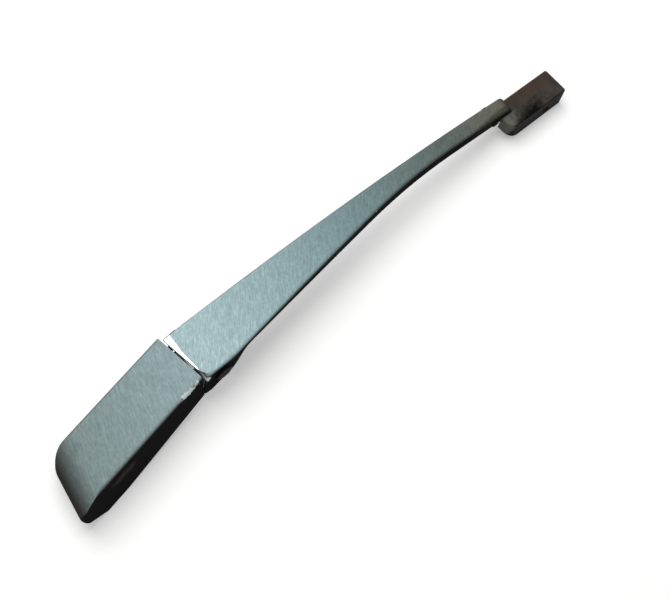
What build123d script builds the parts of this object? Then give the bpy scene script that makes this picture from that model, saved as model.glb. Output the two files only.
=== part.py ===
from build123d import *
import os
from math import cos, hypot, radians, sin, tan

os.makedirs("parts", exist_ok=True)

# Millimetres. The origin is on the shaft axis, in the plane of the hub's underside.
# X runs along the arm, Y along the hinge pin, Z up, away from the glass.

# Fits and clearances
press_gap = 0.03
running_gap = 0.05
side_gap = 0.2
swing_gap = 0.5

# Hood over the shaft nut
hood_width = 28.5
hood_top = 26.0
hood_rim = 0.6
hood_front_rim = 8.0
hood_draft = 7.5
hood_wall = 1.6
hood_tail = 21.2
hood_length = 55.4
hood_angle = 11.0
hood_front_skew = 3.5
hood_tail_round = 14.5
hood_tail_skew = -22.0
hood_tail_rim = 10.5
hood_tail_lift = 14.0
hood_left_corner = 13.0
hood_right_corner = 3.0
hood_edge_round = 2.0

# Arm, a pressed channel that is open underneath
sheet = 1.5
arm_rear = 58.0
arm_left = 23.2
arm_width = 28.4
neck_width = 9.0
neck_end = 284.0
taper_start = 74.0
taper_end = 207.0
taper_start_blend = 60.0
taper_blend = 420.0
crest_x = 165.0
crest_height = 28.5
neck_top = 16.5
neck_depth = 7.5
neck_end_round = 3.0
lip_round = 5.0
arm_edge_round = 1.8
ear_lean = 2.0
ear_bottom = 11.0
ear_length = 16.0
ear_round = 9.0
ear_blend = 7.0
flange_start_x = 83.0
flange_start_z = 24.0
flange_crest_z = 20.4

# Hinge
hinge_x = 68.0
hinge_z = 17.5
pin_radius = 3.0
pin_head_radius = 4.6
pin_head_height = 1.2
bush_wall = 1.0
bush_flange = 1.0
bush_flange_radius = 6.0
cheek_radius = 6.3

# Head casting
hub_radius = 9.5
hub_height = 13.0
shaft_radius = 5.0
bore_chamfer = 0.8
beam_bottom = 0.8
beam_top = 6.0
beam_wall = 2.4
beam_core_depth = 3.2
link_slot = 8.0
beam_inset = 1.2

# Hood pivots
pivot_setback = 8.0
pivot_drop = 4.0
peg_radius = 1.4
peg_length = 2.4
lug_thickness = 2.6
lug_radius = 2.1
lug_gap = 0.8

# Spring and its link
spring_y = 12.0
anchor_reach = 8.0
anchor_angle = -110.0
anchor_radius = 1.5
anchor_play = 1.0
link_bias = 0.5
link_thickness = 2.4
link_bar = 3.0
link_ring_wall = 1.1
link_bow = 4.2
link_bow_start = 3.0
link_bow_end = 11.0
link_rise_end = 15.5
link_bend_radius = 2.0
link_length = 25.0
link_eye_radius = 1.3
link_end_radius = 2.9
post_x = 150.0
post_z = 23.3
wire_radius = 0.7
coil_radius = 2.6
coil_turns = 16.25
post_leg = 3.0
link_leg = 1.1
loop_play = 0.3
loop_angle = 250.0
post_head_height = 0.4

# Blade connector on the neck's end
connector_length = 34.6
connector_width = 16.0
connector_height = 14.0
connector_nose = 12.5
heel_lift = 5.0
shoulder_length = 8.0
shoulder_round = 5.0
connector_edge_round = 1.2
connector_inset = 1.6
pocket_wall = 3.6
pocket_height = 9.5
pocket_back = 6.0
blade_pin_radius = 2.5
blade_pin_height = 5.0
blade_pin_setback = 14.0
tenon_length = 18.0
tenon_bottom = 9.6
tenon_top = 14.6
rivet_radius = 1.5
rivet_setback = 12.5
rivet_z = 13.2
small_head_radius = 2.4
small_head_height = 0.9

# Places worked out from the sizes above
arm_right = arm_left - arm_width
ear_left = arm_left - sheet
ear_right = arm_right + sheet
neck_right = arm_left - neck_width
cheek_left = ear_left - side_gap - bush_flange
cheek_right = ear_right + side_gap + bush_flange
bush_bore = pin_radius + running_gap
bush_radius = bush_bore + bush_wall
post_radius = coil_radius - wire_radius - loop_play
lip_sweep = hypot(hinge_x - arm_rear - lip_round, hood_top - lip_round - hinge_z) + lip_round
connector_left = arm_left - connector_inset
connector_right = connector_left - connector_width
connector_front = neck_end + connector_length
shoulder_left = neck_right - side_gap
blade_pin_x = connector_front - blade_pin_setback
rivet_x = neck_end - rivet_setback
link_ring = anchor_radius + anchor_play
tenon_middle = arm_left - neck_width / 2
tenon_width = neck_width - 2 * sheet - side_gap
beyond = arm_width + hood_width
hood_reach = hood_length + hood_width

# Line of the spring's pull, from the anchor pin in the head to the post in the arm
hinge = Vector(hinge_x, 0, hinge_z)
anchor_turn = radians(anchor_angle)
anchor = hinge + Vector(anchor_reach * cos(anchor_turn), spring_y, anchor_reach * sin(anchor_turn))
post = Vector(post_x, spring_y, post_z)
pull_length = (post - anchor).length
pull = (post - anchor).normalized()
pull_plane = Plane(anchor, x_dir=pull, z_dir=(0, -1, 0))

# Planes of the hood, of its skewed tail and of the pegs near its front
hood_plane = Plane((0, 0, 0), x_dir=Vector(1, 0, 0).rotate(Axis.Z, hood_angle), z_dir=(0, 0, 1))
hood_side = Plane((0, 0, 0), x_dir=hood_plane.x_dir, z_dir=-hood_plane.y_dir)
hood_axis = Axis((0, 0, 0), hood_plane.x_dir)
tail_way = hood_plane.x_dir.rotate(Axis.Z, hood_tail_skew)
tail_floor = Plane((0, 0, 0), x_dir=tail_way, z_dir=(0, 0, 1))
tail_side = Plane((0, 0, 0), x_dir=tail_way, z_dir=-tail_floor.y_dir)
hood_front = hood_plane.from_local_coords(Vector(hood_length, 0, hood_top))
front_way = hood_plane.x_dir.rotate(Axis.Z, -hood_front_skew)
pivot = hood_front - hood_plane.x_dir * pivot_setback - Vector(0, 0, pivot_drop)
pivot_floor = Plane((pivot.X, pivot.Y, 0), x_dir=hood_plane.x_dir, z_dir=(0, 0, 1))
pivot_side = Plane(pivot, x_dir=hood_plane.x_dir, z_dir=-hood_plane.y_dir)
peg_outside = hood_width / 2 - hood_wall / 2
peg_inside = hood_width / 2 - hood_wall - peg_length
lug_outside = hood_width / 2 - hood_wall - lug_gap
lug_middle = lug_outside - lug_thickness / 2


def corner(sketch, x, y):
    """Corner of a sketch that lies nearest to a place in it."""
    return sketch.vertices().sort_by_distance((x, y))[0]


def hood_form(inset, edge_round):
    """Outside of the hood, or its inside one wall in: drafted flanks and a skewed, rolled tail."""
    top = hood_top - inset
    tail = hood_tail - inset
    skew = radians(hood_tail_skew)
    with BuildPart() as form:
        for level in (0, top):
            spread = (hood_top - level) * tan(radians(hood_draft)) - inset
            half = hood_width / 2 + spread
            tail_left = (-tail - half * sin(skew)) / cos(skew)
            tail_right = (-tail + half * sin(skew)) / cos(skew)
            with BuildSketch(hood_plane.offset(level)) as plan:
                with BuildLine():
                    Polyline(
                        (tail_left, half),
                        (tail_right, -half),
                        (hood_reach, -half),
                        (hood_reach, half),
                        close=True,
                    )
                make_face()
                fillet(corner(plan, tail_left, half), hood_left_corner - inset)
                fillet(corner(plan, tail_right, -half), hood_right_corner - inset)
        loft(ruled=True)
        if edge_round:
            fillet(form.faces().sort_by(Axis.Z)[-1].edges().filter_by(hood_axis), edge_round)
        with BuildSketch(tail_side) as side:
            with BuildLine():
                Polyline((-tail, 0), (hood_reach, 0), (hood_reach, top), (-tail, top), close=True)
            make_face()
            fillet(corner(side, -tail, top), hood_tail_round - inset)
        extrude(amount=hood_reach, both=True, mode=Mode.INTERSECT)
    return form.part


def arm_plan(inset, end):
    """Plan of the arm: one straight edge, the other tapering into the slender neck."""
    left = arm_left - inset
    right = arm_right + inset
    with BuildSketch(Plane.XY) as plan:
        with BuildLine():
            edge = FilletPolyline(
                (arm_rear, right),
                (taper_start, right),
                (taper_end, neck_right + inset),
                (end, neck_right + inset),
                radius=(taper_start_blend, taper_blend),
            )
            Polyline(edge @ 1, (end, left), (arm_rear, left), edge @ 0)
        make_face()
    return plan.sketch


def cross_pin(radius, right, left, head_radius, head_height, x, z, heads=(-1, 1)):
    """Pin across the part, with a riveted head on its right (-1), its left (1) or both."""
    with BuildPart() as pin:
        with BuildSketch(Plane((x, right, z), z_dir=(0, 1, 0))):
            Circle(radius)
        extrude(amount=left - right)
        for way in heads:
            with BuildSketch(Plane((x, left if way > 0 else right, z), z_dir=(0, way, 0))):
                Circle(head_radius)
            extrude(amount=head_height)
            fillet(pin.faces().sort_by(Axis.Y, reverse=way > 0)[0].edges(), head_height / 2)
    return pin.part


# Hood: a moulded shell, open underneath and at its front, on two pegs
with BuildPart() as hood:
    add(hood_form(0, hood_edge_round))
    add(hood_form(hood_wall, 0), mode=Mode.SUBTRACT)
    split(bisect_by=Plane(hood_front, z_dir=front_way), keep=Keep.BOTTOM)
    with BuildSketch(hood_side):
        with BuildLine():
            Polyline(
                (-hood_reach, 0),
                (-hood_reach, hood_rim),
                (0, hood_rim),
                (hood_length, hood_front_rim),
                (hood_reach, hood_front_rim),
                (hood_reach, 0),
                close=True,
            )
        make_face()
    extrude(amount=hood_reach, both=True, mode=Mode.SUBTRACT)
    with BuildSketch(Plane((hinge_x, -beyond, hinge_z), z_dir=(0, 1, 0))):
        Circle(lip_sweep + swing_gap)
    extrude(amount=3 * beyond, mode=Mode.SUBTRACT)
    with BuildSketch(tail_side):
        with BuildLine():
            Polyline(
                (hood_tail_lift - hood_tail, 0),
                (hood_tail_lift - hood_tail, hood_rim),
                (-hood_tail, hood_tail_rim),
                (-hood_reach, hood_tail_rim),
                (-hood_reach, 0),
                close=True,
            )
        make_face()
    extrude(amount=hood_reach, both=True, mode=Mode.SUBTRACT)
    for way in (-1, 1):
        with BuildSketch(pivot_side.offset(way * peg_inside)):
            Circle(peg_radius)
        extrude(amount=way * (peg_outside - peg_inside))
hood.part.label = "hood"

# Pivot head: one casting from the hub on the shaft to the hinge fork
with BuildPart() as pivot_head:
    with BuildSketch(Plane.XY.offset(beam_bottom)) as beam:
        with BuildLine():
            CenterArc((0, 0), hub_radius, 0, 360)
            foot = pivot_floor.from_local_coords
            for way in (-1, 1):
                Line(foot((-lug_radius, way * lug_outside)), foot((lug_radius, way * lug_outside)))
            fork_x = hinge_x - cheek_radius
            Line((fork_x, cheek_right + beam_inset), (fork_x, cheek_left))
        make_hull()
    extrude(amount=beam_top - beam_bottom)
    with BuildSketch(Plane.XY.offset(beam_bottom)):
        add(beam.sketch_local)
        offset(amount=-beam_wall)
        Circle(hub_radius, mode=Mode.SUBTRACT)
        with BuildLine():
            Line((0, 0), (hinge_x, (cheek_left + cheek_right) / 2))
        trace(line_width=beam_wall, mode=Mode.SUBTRACT)
    extrude(amount=beam_core_depth, mode=Mode.SUBTRACT)
    with BuildSketch():
        Circle(hub_radius)
    extrude(amount=hub_height)
    with BuildSketch(Plane((hinge_x, cheek_right, hinge_z), x_dir=(1, 0, 0), z_dir=(0, -1, 0))):
        Circle(cheek_radius)
        with Locations((0, (beam_bottom - hinge_z) / 2)):
            Rectangle(2 * cheek_radius, hinge_z - beam_bottom)
    extrude(amount=cheek_right - cheek_left)
    for way in (-1, 1):
        with BuildSketch(pivot_side.offset(way * lug_middle)):
            Circle(lug_radius)
            with Locations((0, (beam_bottom - pivot.Z) / 2)):
                Rectangle(2 * lug_radius, pivot.Z - beam_bottom)
        extrude(amount=lug_thickness / 2, both=True)
    with BuildSketch(pivot_side):
        Circle(peg_radius + running_gap)
    extrude(amount=hood_width, both=True, mode=Mode.SUBTRACT)
    with BuildSketch(Plane((hinge_x, spring_y, 0))):
        Rectangle(2 * (cheek_radius + link_ring_wall), link_slot)
    extrude(amount=hood_top, mode=Mode.SUBTRACT)
    with BuildSketch(Plane((hinge_x, cheek_right, hinge_z), z_dir=(0, -1, 0))):
        Circle(bush_radius + press_gap)
    extrude(amount=cheek_right - cheek_left, mode=Mode.SUBTRACT)
    with BuildSketch(Plane((anchor.X, cheek_right, anchor.Z), z_dir=(0, -1, 0))):
        Circle(anchor_radius + press_gap)
    extrude(amount=cheek_right - cheek_left, mode=Mode.SUBTRACT)
    with BuildSketch():
        Circle(shaft_radius)
    extrude(amount=hub_height, mode=Mode.SUBTRACT)
    rounds = pivot_head.edges().filter_by(GeomType.CIRCLE)
    chamfer(rounds.sort_by_distance((shaft_radius, 0, hub_height))[0], bore_chamfer)
pivot_head.part.label = "pivot_head"

# Bushes: a flanged sleeve in each cheek of the fork
slot_left = spring_y + link_slot / 2
slot_right = spring_y - link_slot / 2
bushes = {"hinge_bush_left": (cheek_left, slot_left, 1), "hinge_bush_right": (cheek_right, slot_right, -1)}
bush_parts = {}
for name, (outside, inside, way) in bushes.items():
    with BuildPart() as bush:
        with BuildSketch(Plane((hinge_x, outside, hinge_z), z_dir=(0, way, 0))):
            Circle(bush_flange_radius)
        extrude(amount=bush_flange)
        with BuildSketch(Plane((hinge_x, outside, hinge_z), z_dir=(0, -way, 0))):
            Circle(bush_radius)
        extrude(amount=abs(outside - inside))
        with BuildSketch(Plane((hinge_x, 0, hinge_z), z_dir=(0, 1, 0))):
            Circle(bush_bore)
        extrude(amount=beyond, both=True, mode=Mode.SUBTRACT)
    bush.part.label = name
    bush_parts[name] = bush.part

# Anchor pin: a plain pin across the fork, under the hinge
with BuildPart() as anchor_pin:
    with BuildSketch(Plane((anchor.X, cheek_right, anchor.Z), z_dir=(0, 1, 0))):
        Circle(anchor_radius)
    extrude(amount=cheek_left - cheek_right)
anchor_pin.part.label = "anchor_pin"

# Arm: pressed channel with a curled rear edge, deep hinge ears and shallow flanges
with BuildPart() as arm_channel:
    add(arm_plan(0, neck_end))
    extrude(amount=2 * hood_top)
    with BuildSketch(Plane.XZ) as side:
        with BuildLine():
            ThreePointArc((arm_rear, hood_top), (crest_x, crest_height), (neck_end, neck_top))
            Line((neck_end, neck_top), (neck_end, neck_top - neck_depth))
            ThreePointArc(
                (neck_end, neck_top - neck_depth),
                (crest_x, flange_crest_z),
                (flange_start_x, flange_start_z),
            )
            Polyline(
                (flange_start_x, flange_start_z),
                (arm_rear + ear_length, ear_bottom),
                (arm_rear + ear_lean, ear_bottom),
                (arm_rear, hood_top - lip_round),
                (arm_rear, hood_top),
            )
        make_face()
        fillet(corner(side, arm_rear, hood_top), lip_round)
        fillet(corner(side, neck_end, neck_top), neck_end_round)
        fillet(corner(side, arm_rear + ear_lean, ear_bottom), ear_round)
        fillet(corner(side, arm_rear + ear_length, ear_bottom), ear_blend)
        fillet(corner(side, flange_start_x, flange_start_z), ear_blend)
    extrude(amount=beyond, both=True, mode=Mode.INTERSECT)
    top_face = arm_channel.faces().filter_by(GeomType.CYLINDER).sort_by(SortBy.AREA)[-1]
    fillet(top_face.edges().sort_by(SortBy.LENGTH)[-2:], arm_edge_round)
with BuildPart() as arm_inside:
    add(arm_plan(sheet, neck_end + sheet))
    extrude(amount=2 * hood_top)
    with BuildSketch(Plane.XZ) as side:
        with BuildLine():
            ThreePointArc(
                (arm_rear + sheet, hood_top - sheet),
                (crest_x, crest_height - sheet),
                (neck_end + sheet, neck_top - sheet),
            )
            Polyline(
                (neck_end + sheet, neck_top - sheet),
                (neck_end + sheet, 0),
                (arm_rear - sheet, 0),
                (arm_rear - sheet, hood_top - lip_round),
                (arm_rear + sheet, hood_top - lip_round),
                (arm_rear + sheet, hood_top - sheet),
            )
        make_face()
        fillet(corner(side, arm_rear + sheet, hood_top - sheet), lip_round - sheet)
    extrude(amount=beyond, both=True, mode=Mode.INTERSECT)
with BuildPart() as arm_shell:
    add(arm_channel.part)
    add(arm_inside.part, mode=Mode.SUBTRACT)
    for x, z, radius in (
        (hinge_x, hinge_z, pin_radius), (post.X, post.Z, post_radius), (rivet_x, rivet_z, rivet_radius)
    ):
        with BuildSketch(Plane((x, 0, z), z_dir=(0, 1, 0))):
            Circle(radius + press_gap)
        extrude(amount=beyond, both=True, mode=Mode.SUBTRACT)
arm_shell.part.label = "arm_channel"

# Cross pins of the arm: the hinge pin, the spring's post and the connector's rivet
taper_slope = (neck_right - arm_right) / (taper_end - taper_start)
post_right = arm_right + taper_slope * (post_x + post_radius - taper_start)
hinge_pin = cross_pin(pin_radius, arm_right, arm_left, pin_head_radius, pin_head_height, hinge_x, hinge_z)
hinge_pin.label = "hinge_pin"
spring_post = cross_pin(
    post_radius, post_right, arm_left, small_head_radius, post_head_height, post_x, post_z, heads=(1,)
)
spring_post.label = "spring_post"
connector_rivet = cross_pin(
    rivet_radius, neck_right, arm_left, small_head_radius, small_head_height, rivet_x, rivet_z
)
connector_rivet.label = "connector_rivet"

# Spring link: a flat strip bowed below the hinge pin, from the anchor pin to the spring
with BuildPart() as spring_link:
    with BuildSketch(pull_plane):
        with BuildLine():
            FilletPolyline(
                (-link_bias, -link_ring),
                (link_bow_start, -link_bow),
                (link_bow_end, -link_bow),
                (link_rise_end, 0),
                (link_length, 0),
                radius=link_bend_radius,
            )
        trace(line_width=link_bar)
        with Locations((-link_bias, 0)):
            Circle(link_ring + link_ring_wall)
            Circle(link_ring, mode=Mode.SUBTRACT)
        with Locations((link_length, 0)):
            Circle(link_end_radius)
            Circle(link_eye_radius, mode=Mode.SUBTRACT)
    extrude(amount=link_thickness / 2, both=True)
spring_link.part.label = "spring_link"

# Tension spring: open coils under load, a loop round the post and a loop through the link's eye
coil_far = anchor + pull * (pull_length - post_leg)
link_loop_middle = anchor + pull * (link_length + coil_radius)
coil_near = link_loop_middle + pull * link_leg
coil_length = (coil_far - coil_near).length
with BuildPart() as tension_spring:
    with BuildLine() as coil:
        turns = Helix(coil_length / coil_turns, coil_length, coil_radius, center=coil_far, direction=-pull)
    with BuildSketch(Plane(turns @ 0, z_dir=turns % 0)):
        Circle(wire_radius)
    sweep(path=turns, is_frenet=True)
    far_side = (turns @ 0) - coil_far
    near_side = (turns @ 1) - coil_near
    near_turn = Axis(link_loop_middle, pull.cross(near_side))
    for bend, leg, loop in (
        (far_side + coil_far, pull * post_leg, Axis(post, (0, -1, 0))),
        (near_side + coil_near, pull * -link_leg, near_turn),
    ):
        with Locations(bend):
            Sphere(wire_radius)
        with BuildSketch(Plane(bend, z_dir=leg)):
            Circle(wire_radius)
        extrude(amount=leg.length)
        with BuildSketch(Plane(bend + leg, z_dir=leg)):
            Circle(wire_radius)
        revolve(axis=loop, revolution_arc=loop_angle)
tension_spring.part.label = "tension_spring"

# Blade connector: moulded block with a shoulder beside the neck and a fork for the blade
with BuildPart() as blade_connector:
    with BuildSketch() as plan:
        with BuildLine():
            Polyline(
                (neck_end, connector_left),
                (connector_front, connector_left),
                (connector_front, connector_right),
                (neck_end - shoulder_length, connector_right),
                (neck_end - shoulder_length, shoulder_left),
                (neck_end, shoulder_left),
                close=True,
            )
        make_face()
        fillet(corner(plan, neck_end - shoulder_length, connector_right), shoulder_round)
        fillet(corner(plan, connector_front, connector_right), connector_edge_round)
        fillet(corner(plan, connector_front, connector_left), connector_edge_round)
    extrude(amount=connector_height)
    with BuildSketch(Plane.XZ):
        with BuildLine():
            Polyline(
                (neck_end - shoulder_length, heel_lift),
                (neck_end, 0),
                (connector_front, 0),
                (connector_front, connector_nose),
                (neck_end - shoulder_length, connector_height),
                close=True,
            )
        make_face()
    extrude(amount=beyond, both=True, mode=Mode.INTERSECT)
    fillet(blade_connector.faces().sort_by(Axis.Z)[-1].edges(), connector_edge_round)
    with BuildSketch(Plane.YZ.offset(neck_end - tenon_length)):
        with Locations((tenon_middle, (tenon_bottom + tenon_top) / 2)):
            Rectangle(tenon_width, tenon_top - tenon_bottom)
    extrude(amount=tenon_length)
    with BuildSketch(Plane.YZ.offset(neck_end + pocket_back)):
        with Locations(((connector_left + connector_right) / 2, 0)):
            Rectangle(connector_width - 2 * pocket_wall, 2 * pocket_height)
    extrude(amount=connector_length, mode=Mode.SUBTRACT)
    for x, z, radius in (
        (blade_pin_x, blade_pin_height, blade_pin_radius),
        (rivet_x, rivet_z, rivet_radius + press_gap),
    ):
        with BuildSketch(Plane((x, 0, z), z_dir=(0, 1, 0))):
            Circle(radius)
        extrude(amount=beyond, both=True, mode=Mode.SUBTRACT)
blade_connector.part.label = "blade_connector"

pieces = [
    hood.part,
    pivot_head.part,
    anchor_pin.part,
    arm_shell.part,
    hinge_pin,
    spring_post,
    connector_rivet,
    spring_link.part,
    tension_spring.part,
    blade_connector.part,
    *bush_parts.values(),
]
for piece in pieces:
    export_step(piece, f"parts/{piece.label}.step")
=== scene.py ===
from math import cos, radians, sin

import bmesh
import bpy
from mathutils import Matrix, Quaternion, Vector


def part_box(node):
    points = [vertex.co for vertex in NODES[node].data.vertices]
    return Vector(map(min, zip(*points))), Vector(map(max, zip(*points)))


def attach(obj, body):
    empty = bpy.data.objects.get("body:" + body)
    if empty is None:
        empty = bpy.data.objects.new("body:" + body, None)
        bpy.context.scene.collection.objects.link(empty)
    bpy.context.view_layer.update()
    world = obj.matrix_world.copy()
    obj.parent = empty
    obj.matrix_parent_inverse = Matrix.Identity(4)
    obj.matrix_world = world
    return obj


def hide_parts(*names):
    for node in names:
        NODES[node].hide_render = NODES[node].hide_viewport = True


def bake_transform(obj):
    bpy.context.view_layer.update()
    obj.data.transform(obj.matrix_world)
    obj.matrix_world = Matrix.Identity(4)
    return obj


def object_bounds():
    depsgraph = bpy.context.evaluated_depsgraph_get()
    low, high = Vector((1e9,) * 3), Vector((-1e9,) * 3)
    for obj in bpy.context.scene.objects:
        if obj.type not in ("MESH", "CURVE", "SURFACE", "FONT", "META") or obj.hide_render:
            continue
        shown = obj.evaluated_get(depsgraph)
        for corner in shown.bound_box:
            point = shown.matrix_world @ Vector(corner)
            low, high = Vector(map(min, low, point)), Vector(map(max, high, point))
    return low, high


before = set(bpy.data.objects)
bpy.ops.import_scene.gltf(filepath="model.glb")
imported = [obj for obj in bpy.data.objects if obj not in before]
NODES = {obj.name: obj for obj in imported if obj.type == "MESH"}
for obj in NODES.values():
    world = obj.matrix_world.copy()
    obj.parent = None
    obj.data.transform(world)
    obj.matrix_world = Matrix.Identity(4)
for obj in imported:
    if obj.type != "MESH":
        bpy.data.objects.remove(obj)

cad_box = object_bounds()

# Lengths are metres, written as millimetres times MM
MM = 0.001

# The photograph's frame and the camera that the arm's outline in it gives
IMAGE_WIDTH = 670
SENSOR_WIDTH_MM = 36.0
VIEW_TARGET = Vector((136.24, -9.1, 12.0)) * MM
VIEW_AZIMUTH = radians(-57.16)
VIEW_ELEVATION = radians(64.88)
VIEW_ROLL = radians(17.04)
VIEW_DISTANCE = 652.7 * MM
VIEW_FOCAL_PIXELS = 1327.8
VIEW_NEAREST = 10 * MM


def linear(hex_colour):
    """A colour written as sRGB hex, as the linear RGBA that the shader sockets take."""
    parts = [int(hex_colour[i:i + 2], 16) / 255 for i in (1, 3, 5)]
    return (*[c / 12.92 if c <= 0.04045 else ((c + 0.055) / 1.055) ** 2.4 for c in parts], 1.0)


def mm(*lengths):
    """Millimetres as a vector of metres."""
    return Vector(lengths) * MM


def node(tree, kind, inputs=None, **settings):
    """Adds one node with its settings and links.

    An input is a value, another node's socket, or a node, whose first live output is linked.
    """
    made = tree.nodes.new(kind)
    for name, value in settings.items():
        setattr(made, name, value)
    for key, value in (inputs or {}).items():
        if isinstance(value, bpy.types.Node):
            value = next(socket for socket in value.outputs if not socket.is_unavailable)
        if isinstance(value, bpy.types.NodeSocket):
            tree.links.new(value, made.inputs[key])
        else:
            made.inputs[key].default_value = value
    return made


def blank_material(name):
    """A material with an empty tree and its output node."""
    material = bpy.data.materials.new(name)
    material.use_nodes = True
    material.node_tree.nodes.clear()
    return material, material.node_tree, node(material.node_tree, "ShaderNodeOutputMaterial")


# Scouring leaves scratches about 0.1 mm wide, drawn wider here so that they show, in broader rubbed bands
SCRATCH_LENGTH = 6 * MM
SCRATCH_WIDTH = 0.42 * MM
SCRATCH_DEPTH = 0.05 * MM
BAND_LENGTH = 11 * MM
BAND_WIDTH = 0.9 * MM
BAND_TURN = radians(-14)
BAND_SHARE = 0.3
MOTTLE_SIZE = 1.8 * MM

# What each pattern does to the chalk: its range of heights, and how much lighter or darker that makes it
CHALK_GRAIN = (
    # Painted glints: the scratches lighten as glints on them would, and the second row adds bright glints on
    # a few
    ("scratches", 0.32, 0.68, 0.79, 1.21),
    ("scratches", 0.58, 0.68, 1.0, 1.12),
    ("mottle", 0.3, 0.7, 0.9, 1.1),
)


def scouring(tree, spot, angle):
    """Fine slanting scratches over rubbed bands, as a height about one half."""
    layers = []
    for turn, length, width in ((0, SCRATCH_LENGTH, SCRATCH_WIDTH), (BAND_TURN, BAND_LENGTH, BAND_WIDTH)):
        drawn = node(
            tree, "ShaderNodeMapping",
            {"Vector": spot, "Rotation": (0, 0, angle + turn), "Scale": (length, width, width)},
            vector_type="TEXTURE",
        )
        layers.append(node(tree, "ShaderNodeTexNoise", {"Vector": drawn, "Scale": 1.0, "Detail": 3.0}))
    return node(tree, "ShaderNodeMix", {0: BAND_SHARE, 2: layers[0], 3: layers[1]})


# Most heights of a noise lie in the first span, and the tears of a spot's edge take the second
NOISE_SPAN = {"From Min": 0.3, "From Max": 0.7}
TEAR_SPAN = {"From Min": 0.25, "From Max": 0.75}

# A spot fades in from the edge of its reach, and has its whole cover within this share of it
SPOT_FADE = {"From Min": 1.0, "From Max": 0.6}


def wear_and_light_spot(tree, spot, under, colour, centre, reach, turn, tear, grit, cover):
    """A spot over the colour under it, for wear and for painted light and shade.

    It lies within a reach of its centre and is turned in the plan. Tears as large as its grit break its edge.
    """
    offset = node(
        tree, "ShaderNodeMapping",
        {"Vector": spot, "Location": centre, "Rotation": (0, 0, turn), "Scale": reach},
        vector_type="TEXTURE",
    )
    away = node(tree, "ShaderNodeVectorMath", {0: offset}, operation="LENGTH")
    grain = node(tree, "ShaderNodeTexNoise", {"Vector": spot, "Scale": 1 / grit, "Detail": 4.0})
    torn = node(tree, "ShaderNodeMapRange", {"Value": grain, **TEAR_SPAN, "To Min": -tear, "To Max": tear})
    edge = node(tree, "ShaderNodeMath", {0: away.outputs["Value"], 1: torn}, operation="ADD")
    worn = node(
        tree, "ShaderNodeMapRange", {"Value": edge, **SPOT_FADE, "To Min": 0.0, "To Max": cover},
        interpolation_type="SMOOTHSTEP",
    )
    return node(tree, "ShaderNodeMix", {0: worn, 6: under, 7: linear(colour)}, data_type="RGBA")


# The dark grey of painted shade where a face turns away from the sky, and the brown film low on the tail
SLOPE_SHADE = "#3d3d3c"
RUST_FILM = "#3a2a24"
RUST_COVER = 0.5

# A band on the curled lip, painted bright as metal rubbed bare and as a painted highlight; the band rises
# over the lip's width to the left
BARE_AND_HIGHLIGHT = "#eef5f6"
LIP_RISE = 2.0 * MM
LIP_WIDTH = 28.4 * MM
LIP_BAND = 3.0 * MM

# How far back a face turns, as its normal's X, where the brown film and the bright band begin and are whole
RUST_TURN = {"From Min": -0.6, "From Max": -0.95}
LIP_TURN = {"From Min": -0.2, "From Max": -0.4}

# Chalk scatters nearly all light
CHALK_SHINE = 0.01
CHALK_ROUGHNESS = {"To Min": 0.6, "To Max": 0.8}
CHALK_RELIEF = 0.3


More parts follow.
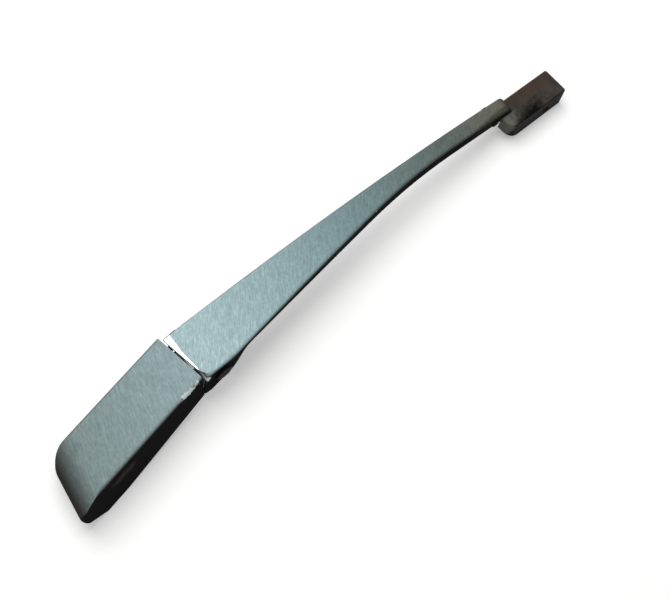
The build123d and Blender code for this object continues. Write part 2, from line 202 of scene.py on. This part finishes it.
def chalk_and_sheen_black(name, scour_angle, run, first_chalk_and_sheen, falloff_steps, sky_steps, black, spots, lip_top=None):
    """Satin black finish, pale where it faces the sky, partly chalked and partly painted sheen, and scoured
    in fine slanting scratches.

    The top looks pale, dry and grey-green, edges darken through the dark grey of painted shade, and the
    flanks keep their black.
    falloff_steps are stretches along run, a direction, over which the top turns to another colour: a painted
    falloff of light and shade along the part.
    sky_steps are the slopes, as the normal's Z, at which the painted shade and then the pale top begin and
    are whole.
    lip_top is the height, at Y 0, from which a curled rear end is painted bright in a band, as metal rubbed
    bare and as a painted highlight.
    """
    material, tree, output = blank_material(name)
    place = node(tree, "ShaderNodeTexCoord")
    spot = place.outputs["Object"]
    facing = node(tree, "ShaderNodeSeparateXYZ", {0: place.outputs["Normal"]})

    # The pale top, partly chalk and partly painted sheen
    chalk = linear(first_chalk_and_sheen)
    along = node(tree, "ShaderNodeVectorMath", {0: spot, 1: run}, operation="DOT_PRODUCT")
    # Painted falloff of light and shade: the top darkens step by step along run
    for start, end, colour in falloff_steps:
        turned = node(
            tree, "ShaderNodeMapRange",
            {"Value": along.outputs["Value"], "From Min": start, "From Max": end},
        )
        chalk = node(tree, "ShaderNodeMix", {0: turned, 6: chalk, 7: linear(colour)}, data_type="RGBA")

    scratches = scouring(tree, spot, scour_angle)
    mottle = node(tree, "ShaderNodeTexNoise", {"Vector": spot, "Scale": 1 / MOTTLE_SIZE, "Detail": 4.0})
    layers = {"scratches": scratches, "mottle": mottle}
    for pattern, low, high, least, most in CHALK_GRAIN:
        weight = node(
            tree, "ShaderNodeMapRange",
            {"Value": layers[pattern], "From Min": low, "From Max": high, "To Min": least, "To Max": most},
        )
        chalk = node(
            tree, "ShaderNodeMix", {0: 1.0, 6: chalk, 7: weight}, data_type="RGBA", blend_type="MULTIPLY"
        )

    rusty = node(
        tree, "ShaderNodeMapRange", {"Value": facing.outputs["X"], **RUST_TURN, "To Max": RUST_COVER}
    )
    colour = node(
        tree, "ShaderNodeMix", {0: rusty, 6: linear(black), 7: linear(RUST_FILM)}, data_type="RGBA"
    )
    # Painted sheen and shade: a face darkens as it turns from the sky, through painted shade to its black
    for (low, high), shade in zip(sky_steps, (linear(SLOPE_SHADE), chalk)):
        skyward = node(
            tree, "ShaderNodeMapRange", {"Value": facing.outputs["Z"], "From Min": low, "From Max": high}
        )
        colour = node(tree, "ShaderNodeMix", {0: skyward, 6: colour, 7: shade}, data_type="RGBA")

    for wear_and_light in spots:
        colour = wear_and_light_spot(tree, spot, colour, **wear_and_light)
    # Painted highlight on the lip's curl, also taken as metal rubbed bare
    if lip_top:
        at = node(tree, "ShaderNodeSeparateXYZ", {0: spot})
        level = node(
            tree, "ShaderNodeMath", {0: at.outputs["Y"], 1: -LIP_RISE / LIP_WIDTH, 2: at.outputs["Z"]},
            operation="MULTIPLY_ADD",
        )
        band = node(
            tree, "ShaderNodeMath", {0: level, 1: lip_top - LIP_BAND / 2, 2: LIP_BAND / 2},
            operation="COMPARE",
        )
        rearward = node(tree, "ShaderNodeMapRange", {"Value": facing.outputs["X"], **LIP_TURN})
        rubbed_highlight = node(tree, "ShaderNodeMath", {0: band, 1: rearward}, operation="MULTIPLY")
        colour = node(
            tree, "ShaderNodeMix", {0: rubbed_highlight, 6: colour, 7: linear(BARE_AND_HIGHLIGHT)}, data_type="RGBA"
        )

    dry = node(tree, "ShaderNodeMapRange", {"Value": scratches, **NOISE_SPAN, **CHALK_ROUGHNESS})
    relief = node(
        tree, "ShaderNodeBump",
        {"Height": scratches, "Strength": CHALK_RELIEF, "Distance": SCRATCH_DEPTH},
    )
    paint = node(
        tree, "ShaderNodeBsdfPrincipled",
        {"Base Color": colour, "Roughness": dry, "Specular IOR Level": CHALK_SHINE, "Normal": relief},
    )
    tree.links.new(paint.outputs[0], output.inputs["Surface"])
    return material


# Spark erosion leaves pits of some hundredths of a millimetre, drawn coarser here so that they show
NYLON_GRIT = 0.5 * MM
NYLON_CLOUD = 5 * MM
NYLON_DEPTH = 0.06 * MM
NYLON_RELIEF = 0.35
NYLON_SHINE = 0.04
NYLON_ROUGHNESS = {"To Min": 0.5, "To Max": 0.66}

# How much the grain and the clouds darken and lighten it
GRAIN_WEIGHT = {"To Min": 0.8, "To Max": 1.2}
CLOUD_WEIGHT = {"To Min": 0.75, "To Max": 1.2}

# The slopes, as the normal's Y and Z, at which the fringe on the left and the pale top begin and are whole;
# the top is partly dulled nylon and partly painted light, the sides partly painted shade
FRINGE_TURN = {"From Min": 0.05, "From Max": 0.5}
TOP_TURN = {"From Min": 0.35, "From Max": 0.95}


def moulded_nylon(name, face, black, fringe, spots):
    """Glass-filled nylon with a fine spark-eroded grain: brownish and dull above, near black at its sides,
    partly its own colour and partly painted light and shade.
    """
    material, tree, output = blank_material(name)
    place = node(tree, "ShaderNodeTexCoord")
    spot = place.outputs["Object"]
    facing = node(tree, "ShaderNodeSeparateXYZ", {0: place.outputs["Normal"]})
    grain = node(tree, "ShaderNodeTexNoise", {"Vector": spot, "Scale": 1 / NYLON_GRIT, "Detail": 3.0})
    cloud = node(tree, "ShaderNodeTexNoise", {"Vector": spot, "Scale": 1 / NYLON_CLOUD, "Detail": 3.0})
    left = node(tree, "ShaderNodeMapRange", {"Value": facing.outputs["Y"], **FRINGE_TURN})
    colour = node(tree, "ShaderNodeMix", {0: left, 6: linear(black), 7: linear(fringe)}, data_type="RGBA")
    # Painted light and shade: the top lighter, the sides darker
    skyward = node(tree, "ShaderNodeMapRange", {"Value": facing.outputs["Z"], **TOP_TURN})
    colour = node(tree, "ShaderNodeMix", {0: skyward, 6: colour, 7: linear(face)}, data_type="RGBA")
    for pattern, weights in ((grain, GRAIN_WEIGHT), (cloud, CLOUD_WEIGHT)):
        weight = node(tree, "ShaderNodeMapRange", {"Value": pattern, **NOISE_SPAN, **weights})
        colour = node(
            tree, "ShaderNodeMix", {0: 1.0, 6: colour, 7: weight}, data_type="RGBA", blend_type="MULTIPLY"
        )
    for wear_and_light in spots:
        colour = wear_and_light_spot(tree, spot, colour, **wear_and_light)
    rough = node(tree, "ShaderNodeMapRange", {"Value": grain, **NOISE_SPAN, **NYLON_ROUGHNESS})
    relief = node(
        tree, "ShaderNodeBump", {"Height": grain, "Strength": NYLON_RELIEF, "Distance": NYLON_DEPTH}
    )
    plastic = node(
        tree, "ShaderNodeBsdfPrincipled",
        {"Base Color": colour, "Roughness": rough, "Specular IOR Level": NYLON_SHINE, "Normal": relief},
    )
    tree.links.new(plastic.outputs[0], output.inputs["Surface"])
    return material


# How many grains across a cloud of wear or film is, and the heights of its noise where it begins and is whole
SKIN_CLOUD = 12
SKIN_WEAR = {"From Min": 0.4, "From Max": 0.75, "To Max": 0.5}
METAL_CLOUD = 14
METAL_FILM = {"From Min": 0.3, "From Max": 0.75}

# How far the grain takes the roughness to either side, and how strongly it stands out
SKIN_SPREAD = 0.08
SKIN_RELIEF = 0.3
SKIN_DEPTH = 0.05 * MM
METAL_SPREAD = 0.1
METAL_RELIEF = 0.5


def plain_skin(name, face, worn, grit, rough, shine):
    """A coated or moulded skin with a fine grain, which breaks up its sheen."""
    material, tree, output = blank_material(name)
    spot = node(tree, "ShaderNodeTexCoord").outputs["Object"]
    grain = node(tree, "ShaderNodeTexNoise", {"Vector": spot, "Scale": 1 / grit, "Detail": 3.0})
    cloud = node(
        tree, "ShaderNodeTexNoise", {"Vector": spot, "Scale": 1 / (SKIN_CLOUD * grit), "Detail": 3.0}
    )
    cover = node(tree, "ShaderNodeMapRange", {"Value": cloud, **SKIN_WEAR})
    colour = node(tree, "ShaderNodeMix", {0: cover, 6: linear(face), 7: linear(worn)}, data_type="RGBA")
    sheen = node(
        tree, "ShaderNodeMapRange",
        {"Value": grain, **NOISE_SPAN, "To Min": rough - SKIN_SPREAD, "To Max": rough + SKIN_SPREAD},
    )
    relief = node(
        tree, "ShaderNodeBump", {"Height": grain, "Strength": SKIN_RELIEF, "Distance": SKIN_DEPTH}
    )
    skin = node(
        tree, "ShaderNodeBsdfPrincipled",
        {"Base Color": colour, "Roughness": sheen, "Specular IOR Level": shine, "Normal": relief},
    )
    tree.links.new(skin.outputs[0], output.inputs["Surface"])
    return material


def worked_metal(name, bright, dull, grit, rough, depth):
    """Bare metal with the grain of its making and a dull film in places."""
    material, tree, output = blank_material(name)
    spot = node(tree, "ShaderNodeTexCoord").outputs["Object"]
    grain = node(tree, "ShaderNodeTexNoise", {"Vector": spot, "Scale": 1 / grit, "Detail": 5.0})
    cloud = node(
        tree, "ShaderNodeTexNoise", {"Vector": spot, "Scale": 1 / (METAL_CLOUD * grit), "Detail": 3.0}
    )
    film = node(tree, "ShaderNodeMapRange", {"Value": cloud, **METAL_FILM})
    colour = node(tree, "ShaderNodeMix", {0: film, 6: linear(bright), 7: linear(dull)}, data_type="RGBA")
    sheen = node(
        tree, "ShaderNodeMapRange",
        {"Value": grain, **NOISE_SPAN, "To Min": rough - METAL_SPREAD, "To Max": rough + METAL_SPREAD},
    )
    relief = node(tree, "ShaderNodeBump", {"Height": grain, "Strength": METAL_RELIEF, "Distance": depth})
    metal = node(
        tree, "ShaderNodeBsdfPrincipled",
        {"Base Color": colour, "Metallic": 1.0, "Roughness": sheen, "Normal": relief},
    )
    tree.links.new(metal.outputs[0], output.inputs["Surface"])
    return material


# The hood lies turned in the plan, and its spots of wear and painted light lie along it, while its tail is
# cut askew
HOOD_TURN = radians(11)
TAIL_TURN = radians(-16)

# Pale marks along the hood's right fold near its front, chips and a painted highlight on the fold's edge, and
# a grey-brown painted reflection under that fold near its tail
# Chips and a painted highlight along the fold's edge
fold_chips_and_highlight = dict(
    colour="#dbe6e7", centre=mm(48.0, -5.4, 25.4), reach=mm(7.5, 1.9, 2.1), turn=HOOD_TURN, tear=0.7,
    grit=1.8 * MM, cover=1.0,
)
flank_brown_reflection = dict(
    colour="#3b3532", centre=mm(1.4, -12.6, 17.5), reach=mm(11, 6, 4), turn=HOOD_TURN, tear=0.25,
    grit=5 * MM, cover=0.75,
)

# ABS, moulded and painted satin black: the sky side is grey-green, partly chalked and partly painted sheen,
# it darkens towards the tail in painted shade, and the flanks are still black
hood_finish = chalk_and_sheen_black(
    "moulded_abs_chalk_and_sheen_black",
    scour_angle=radians(74),
    run=(cos(TAIL_TURN), sin(TAIL_TURN), 0),
    first_chalk_and_sheen="#565c5b",
    # The top darkens towards the tail, where it rolls down: painted shade
    falloff_steps=[(-22 * MM, -9 * MM, "#869797"), (-9 * MM, 56 * MM, "#9bb1b4")],
    sky_steps=((0.1, 0.45), (0.45, 0.995)),
    black="#0b0809",
    spots=[fold_chips_and_highlight, flank_brown_reflection],
)

# The height on the lip, at Y 0, where its bright band begins
LIP_TOP = 23.4 * MM

# A nick in the paint on the arm's right edge, its rear right corner, bright as rubbed metal and as a painted
# highlight, painted shade along the right side of its neck, and its end darkened to the connector's colour
edge_nick = dict(
    colour="#dfe7e8", centre=mm(179.0, 9.7, 27.6), reach=mm(1.0, 0.8, 1.2), turn=0.0, tear=0.3,
    grit=1.0 * MM, cover=1.0,
)
# Painted highlight on the lip's corner, also rubbed metal
bright_corner = dict(
    colour="#eaf2f3", centre=mm(59.1, -5.2, 22.6), reach=mm(1.3, 1.0, 1.7), turn=0.0, tear=0.3,
    grit=1.0 * MM, cover=1.0,
)
# Painted shade along the right side of the neck
neck_side_shade = dict(
    colour="#292825", centre=mm(284.0, 14.2, 17.5), reach=mm(34, 4.2, 14), turn=0.0, tear=0.1,
    grit=3 * MM, cover=0.6,
)
# The neck's end darkened towards the connector's colour
neck_end_darkening = dict(
    colour="#3f3c37", centre=mm(289.0, 16.0, 12.0), reach=mm(10, 14, 12), turn=0.0, tear=0.1,
    grit=5 * MM, cover=0.9,
)

# Pressed steel, painted satin black: pale on top like the hood, partly chalk and partly painted sheen, darker
# along the arm in painted falloff of light and least pale on the neck, with a bright lip of rubbed metal and
# painted highlight
arm_finish = chalk_and_sheen_black(
    "pressed_steel_chalk_and_sheen_black",
    scour_angle=radians(57),
    run=(1, 0, 0),
    first_chalk_and_sheen="#b4cdd1",
    # The top darkens along the arm to its neck in painted falloff of light, and at the neck's end towards the
    # connector's colour
    falloff_steps=[
        (60 * MM, 165 * MM, "#7e9698"),
        (165 * MM, 235 * MM, "#626d68"),
        (235 * MM, 276 * MM, "#6c6b61"),
        (279 * MM, 283 * MM, "#473f39"),
    ],
    sky_steps=((0.08, 0.3), (0.3, 0.95)),
    black="#0a090c",
    spots=[edge_nick, bright_corner, neck_side_shade, neck_end_darkening],
    lip_top=LIP_TOP,
)

# Cast aluminium: a grey, slightly pitted skin
head_finish = worked_metal(
    "cast_aluminium_as_cast", bright="#a9abac", dull="#7d7f80", grit=0.5 * MM, rough=0.5, depth=0.08 * MM
)
# Drawn steel: smooth and bright
pin_finish = worked_metal(
    "drawn_steel_bright", bright="#c4c5c8", dull="#9b9ca0", grit=0.25 * MM, rough=0.3, depth=0.01 * MM
)
# Stamped strip, zinc plated: a soft bluish sheen
link_finish = worked_metal(
    "stamped_steel_zinc_plated", bright="#b9bcc2", dull="#8d9095", grit=0.4 * MM, rough=0.38, depth=0.02 * MM
)
# Spring wire, drawn, tempered in oil: dark and smooth
spring_finish = worked_metal(
    "drawn_steel_oil_tempered", bright="#7d8087", dull="#4d4f55", grit=0.3 * MM, rough=0.34, depth=0.01 * MM
)
# Pressed steel with its paint rubbed off, paler than bare steel as a painted highlight: bright, pale and
# evenly dull
rubbed_highlight_finish = worked_metal(
    "pressed_steel_rubbed_bare", bright="#e8eff0", dull="#d8e2e4", grit=0.4 * MM, rough=0.45, depth=0.01 * MM
)
# Steel rivets painted with the arm: black, with little gloss
rivet_finish = plain_skin(
    "headed_steel_black_paint", face="#0c0b0d", worn="#17171a", grit=0.3 * MM, rough=0.6, shine=0.05
)
# Acetal, moulded: a waxy off-white
bush_finish = plain_skin(
    "moulded_acetal_natural", face="#dcd8cc", worn="#c9c4b6", grit=0.4 * MM, rough=0.4, shine=0.45
)

# The connector's rear shoulder, lighter as a painted highlight, a dark patch in its darker halo, and its
# browner left side
shoulder_highlight = dict(
    colour="#70716a", centre=mm(271.5, 10.6, 12.5), reach=mm(15, 9.5, 11), turn=radians(20), tear=0.2,
    grit=3 * MM, cover=0.75,
)
# A dark patch with a darker core on the connector's right side
dark_patch_halo = dict(
    colour="#15110f", centre=mm(290.4, 5.0, 13.0), reach=mm(16, 7, 9), turn=radians(20), tear=0.3,
    grit=3 * MM, cover=0.7,
)
dark_patch = dict(
    colour="#0a0807", centre=mm(290.4, 5.3, 13.0), reach=mm(9, 3.6, 6), turn=radians(20), tear=0.4,
    grit=2 * MM, cover=1.0,
)
brown_side = dict(
    colour="#4b3a31", centre=mm(304.0, 20.5, 14.5), reach=mm(34, 8, 4), turn=0.0, tear=0.3,
    grit=14 * MM, cover=0.6,
)

# Glass-filled nylon, moulded: a brownish black that has gone dull and grey on top, its top also lighter and
# its sides darker as painted light and shade
connector_finish = moulded_nylon(
    "moulded_nylon_brown_black",
    face="#403d38",
    black="#0b0909",
    fringe="#1d1512",
    spots=[brown_side, shoulder_highlight, dark_patch_halo, dark_patch],
)

finishes = {
    "hood": hood_finish,
    "arm_channel": arm_finish,
    "pivot_head": head_finish,
    "anchor_pin": pin_finish,
    "hinge_pin": rivet_finish,
    "spring_post": rivet_finish,
    "connector_rivet": rivet_finish,
    "spring_link": link_finish,
    "tension_spring": spring_finish,
    "blade_connector": connector_finish,
    "hinge_bush_left": bush_finish,
    "hinge_bush_right": bush_finish,
}
for name, finish in finishes.items():
    NODES[name].data.materials.clear()
    NODES[name].data.materials.append(finish)


def arm_piece(name, mesh, edge, sharpness, materials):
    """Rounds a mesh's sharp edges and makes it a painted piece that rides on the arm."""
    bmesh.ops.recalc_face_normals(mesh, faces=mesh.faces)
    sharp = [line for line in mesh.edges if line.calc_face_angle() > sharpness]
    bmesh.ops.bevel(mesh, geom=sharp, offset=edge, segments=2, profile=0.5, affect="EDGES")
    data = bpy.data.meshes.new(name)
    mesh.to_mesh(data)
    mesh.free()
    for finish in materials:
        data.materials.append(finish)
    piece = bpy.data.objects.new(name, data)
    bpy.context.scene.collection.objects.link(piece)
    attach(piece, "arm")


# The lip's rear tab in the plan, from right to left: its Y, and the X where its paint ends and where it ends
TAB_FRONT = 61.5 * MM
TAB_PLAN = (
    mm(-3.4, 59.8, 59.4),
    mm(1.0, 57.9, 57.3),
    mm(12.0, 57.3, 55.75),
    mm(22.7, 57.95, 54.5),
    mm(23.15, 57.95, 54.45),
)
# The tab leaves the lip's curl where the curl has its slope
TAB_TOP = 26.12 * MM
TAB_SLOPE = 0.3
TAB_THICKNESS = 1.1 * MM
TAB_EDGE = 0.15 * MM
TAB_SHARPNESS = radians(30)


def rear_tab():
    """The arm's lip reaches back to the hood in a tab, widest on the left.

    It is rubbed bright towards the hood, as bare metal and a painted highlight. Its front and its right end
    keep their chalked paint on top, and its left rim is black.
    """
    mesh = bmesh.new()
    layers = []
    for drop in (0, TAB_THICKNESS):
        columns = []
        for y, paint_end, end in TAB_PLAN:
            rows = [(x, TAB_TOP - TAB_SLOPE * (TAB_FRONT - x) - drop) for x in (TAB_FRONT, paint_end, end)]
            columns.append([mesh.verts.new((x, y, z)) for x, z in rows])
        layers.append(columns)
    front, middle, rear = range(3)
    painted, rubbed_highlight, rim = range(3)
    last = len(TAB_PLAN) - 1
    for layer in layers:
        for column in range(last):
            first, second = layer[column], layer[column + 1]
            for row in (front, middle):
                face = mesh.faces.new((first[row], first[row + 1], second[row + 1], second[row]))
                finish = painted if row == front or column == 0 else rubbed_highlight
                face.material_index = rim if column + 1 == last else finish
    around = [(0, front), (0, middle)] + [(column, rear) for column in range(last + 1)]
    around += [(last, middle)] + [(column, front) for column in range(last, 0, -1)]
    top, bottom = layers
    for (column, row), (next_column, next_row) in zip(around, around[1:] + around[:1]):
        upper = (top[column][row], top[next_column][next_row])
        lower = (bottom[next_column][next_row], bottom[column][row])
        face = mesh.faces.new(upper + lower)
        face.material_index = rim if last in (column, next_column) else rubbed_highlight
    arm_piece("rear_tab", mesh, TAB_EDGE, TAB_SHARPNESS, (arm_finish, rubbed_highlight_finish, rivet_finish))


# A hinge ear's heel from the side, as X and Z: its lower corners come first, and its last ones lie in the ear
HEEL_PROFILE = [
    mm(62.0, 4.1),
    mm(57.5, 4.7),
    mm(57.6, 16.0),
    mm(58.45, 19.8),
    mm(61.0, 18.0),
    mm(67.5, 12.8),
    mm(72.3, 11.8),
]
HEEL_CORNERS = 2
HEEL_ROUND = 1.2 * MM
HEEL_EDGE = 0.2 * MM
HEEL_SHARPNESS = radians(60)
# The heel's faces lie a hair inside the ear's, so that the two don't share a plane
HEEL_INSET = 0.03 * MM
ARM_SHEET = 1.5 * MM


def ear_heels():
    """Each hinge ear runs down to a heel at its rear, on the line of the hood's lower edge."""
    arm_low, arm_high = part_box("arm_channel")
    for side, right in (("right", arm_low.y), ("left", arm_high.y - ARM_SHEET)):
        mesh = bmesh.new()
        faces = (right + HEEL_INSET, right + ARM_SHEET - HEEL_INSET)
        rings = [[mesh.verts.new((x, y, z)) for x, z in HEEL_PROFILE] for y in faces]
        for ring in rings:
            mesh.faces.new(ring)
        near, far = rings
        for i in range(len(near)):
            mesh.faces.new((near[i - 1], near[i], far[i], far[i - 1]))
        corners = [mesh.edges.get((near[i], far[i])) for i in range(HEEL_CORNERS)]
        bmesh.ops.bevel(mesh, geom=corners, offset=HEEL_ROUND, segments=4, profile=0.5, affect="EDGES")
        arm_piece("ear_heel_" + side, mesh, HEEL_EDGE, HEEL_SHARPNESS, (arm_finish,))


def pull_spring():
    """The spring stretches between its post and the link; a copy of it, baked in place, stands in for it."""
    spring = bpy.data.objects.new("pull_spring", NODES["tension_spring"].data.copy())
    bpy.context.scene.collection.objects.link(spring)
    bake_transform(spring)
    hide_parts("tension_spring")


# A floor and surround that look white by themselves, under light at which a colour renders about as written.
# The lamp's light thins out away from the part, and the floor's own glow makes up for it.
FLOOR_COLOUR = "#f3f3f2"
FLOOR_SIZE = 24
FLOOR_GLOW = 0.3
FLOOR_FAR_GLOW = 0.75
FLOOR_NEAR = 0.35
FLOOR_FAR = 1.6
FLOOR_SINK = 0.05 * MM
SURROUND_STRENGTH = 0.36
SOFTBOX_WATTS = 8.5
SOFTBOX_SIZE = 0.9
SOFTBOX_PLACE = Vector((0.15, 0.45, 1.0))
SOFTBOX_AIM = Vector((0.12, 0, 0))


def seen(tree):
    """One for a ray that ends in the picture, straight, mirrored or through glass, and zero for others."""
    path = node(tree, "ShaderNodeLightPath")
    ray = path.outputs["Is Camera Ray"]
    for kind in ("Is Glossy Ray", "Is Transmission Ray"):
        ray = node(tree, "ShaderNodeMath", {0: ray, 1: path.outputs[kind]}, operation="MAXIMUM").outputs[0]
    return ray


def pale_floor():
    """A matt white floor, which keeps the part's shadow and fades to plain white further off."""
    bpy.ops.mesh.primitive_plane_add(size=FLOOR_SIZE, location=(0, 0, cad_box[0].z - FLOOR_SINK))
    floor = bpy.context.object
    floor.name = "pale_floor"
    material, tree, output = blank_material("matt_white_floor")
    place = node(tree, "ShaderNodeTexCoord")
    offset = node(tree, "ShaderNodeVectorMath", {0: place.outputs["Object"]}, operation="LENGTH")
    glowing = node(
        tree, "ShaderNodeMapRange",
        {
            "Value": offset.outputs["Value"], "From Min": FLOOR_NEAR, "From Max": FLOOR_FAR,
            "To Min": FLOOR_GLOW, "To Max": FLOOR_FAR_GLOW,
        },
    )
    strength = node(tree, "ShaderNodeMath", {0: seen(tree), 1: glowing}, operation="MULTIPLY")
    matt = node(tree, "ShaderNodeBsdfDiffuse", {"Color": linear(FLOOR_COLOUR)})
    glow = node(tree, "ShaderNodeEmission", {"Strength": strength})
    both = node(tree, "ShaderNodeAddShader", {0: matt, 1: glow})
    tree.links.new(both.outputs[0], output.inputs["Surface"])
    floor.data.materials.append(material)


def soft_light():
    """One large soft lamp overhead and an even white surround."""
    world = bpy.data.worlds.new("even_surround")
    world.use_nodes = True
    tree = world.node_tree
    tree.nodes.clear()
    strength = node(
        tree, "ShaderNodeMapRange", {"Value": seen(tree), "To Min": SURROUND_STRENGTH, "To Max": 1.0}
    )
    light = node(tree, "ShaderNodeBackground", {"Color": linear("#ffffff"), "Strength": strength})
    node(tree, "ShaderNodeOutputWorld", {"Surface": light})
    bpy.context.scene.world = world

    lamp = bpy.data.lights.new("overhead_softbox", "AREA")
    lamp.size = SOFTBOX_SIZE
    lamp.energy = SOFTBOX_WATTS
    softbox = bpy.data.objects.new("overhead_softbox", lamp)
    softbox.location = SOFTBOX_PLACE
    softbox.rotation_euler = (SOFTBOX_AIM - SOFTBOX_PLACE).to_track_quat("-Z", "Y").to_euler()
    bpy.context.scene.collection.objects.link(softbox)


def photo_camera():
    """The camera of the photograph."""
    lens = bpy.data.cameras.new("photo_view")
    lens.sensor_fit = "HORIZONTAL"
    lens.sensor_width = SENSOR_WIDTH_MM
    lens.lens = VIEW_FOCAL_PIXELS * SENSOR_WIDTH_MM / IMAGE_WIDTH
    lens.clip_start = VIEW_NEAREST
    camera = bpy.data.objects.new("photo_view", lens)
    back = Vector((
        sin(VIEW_AZIMUTH) * cos(VIEW_ELEVATION),
        -cos(VIEW_AZIMUTH) * cos(VIEW_ELEVATION),
        sin(VIEW_ELEVATION),
    ))
    camera.location = VIEW_TARGET + back * VIEW_DISTANCE
    level = (-back).to_track_quat("-Z", "Y")
    camera.rotation_euler = (level @ Quaternion((0, 0, 1), VIEW_ROLL)).to_euler()
    bpy.context.scene.collection.objects.link(camera)
    bpy.context.scene.camera = camera


rear_tab()
ear_heels()
pull_spring()
pale_floor()
soft_light()
photo_camera()
bpy.context.scene.view_settings.view_transform = "Standard"
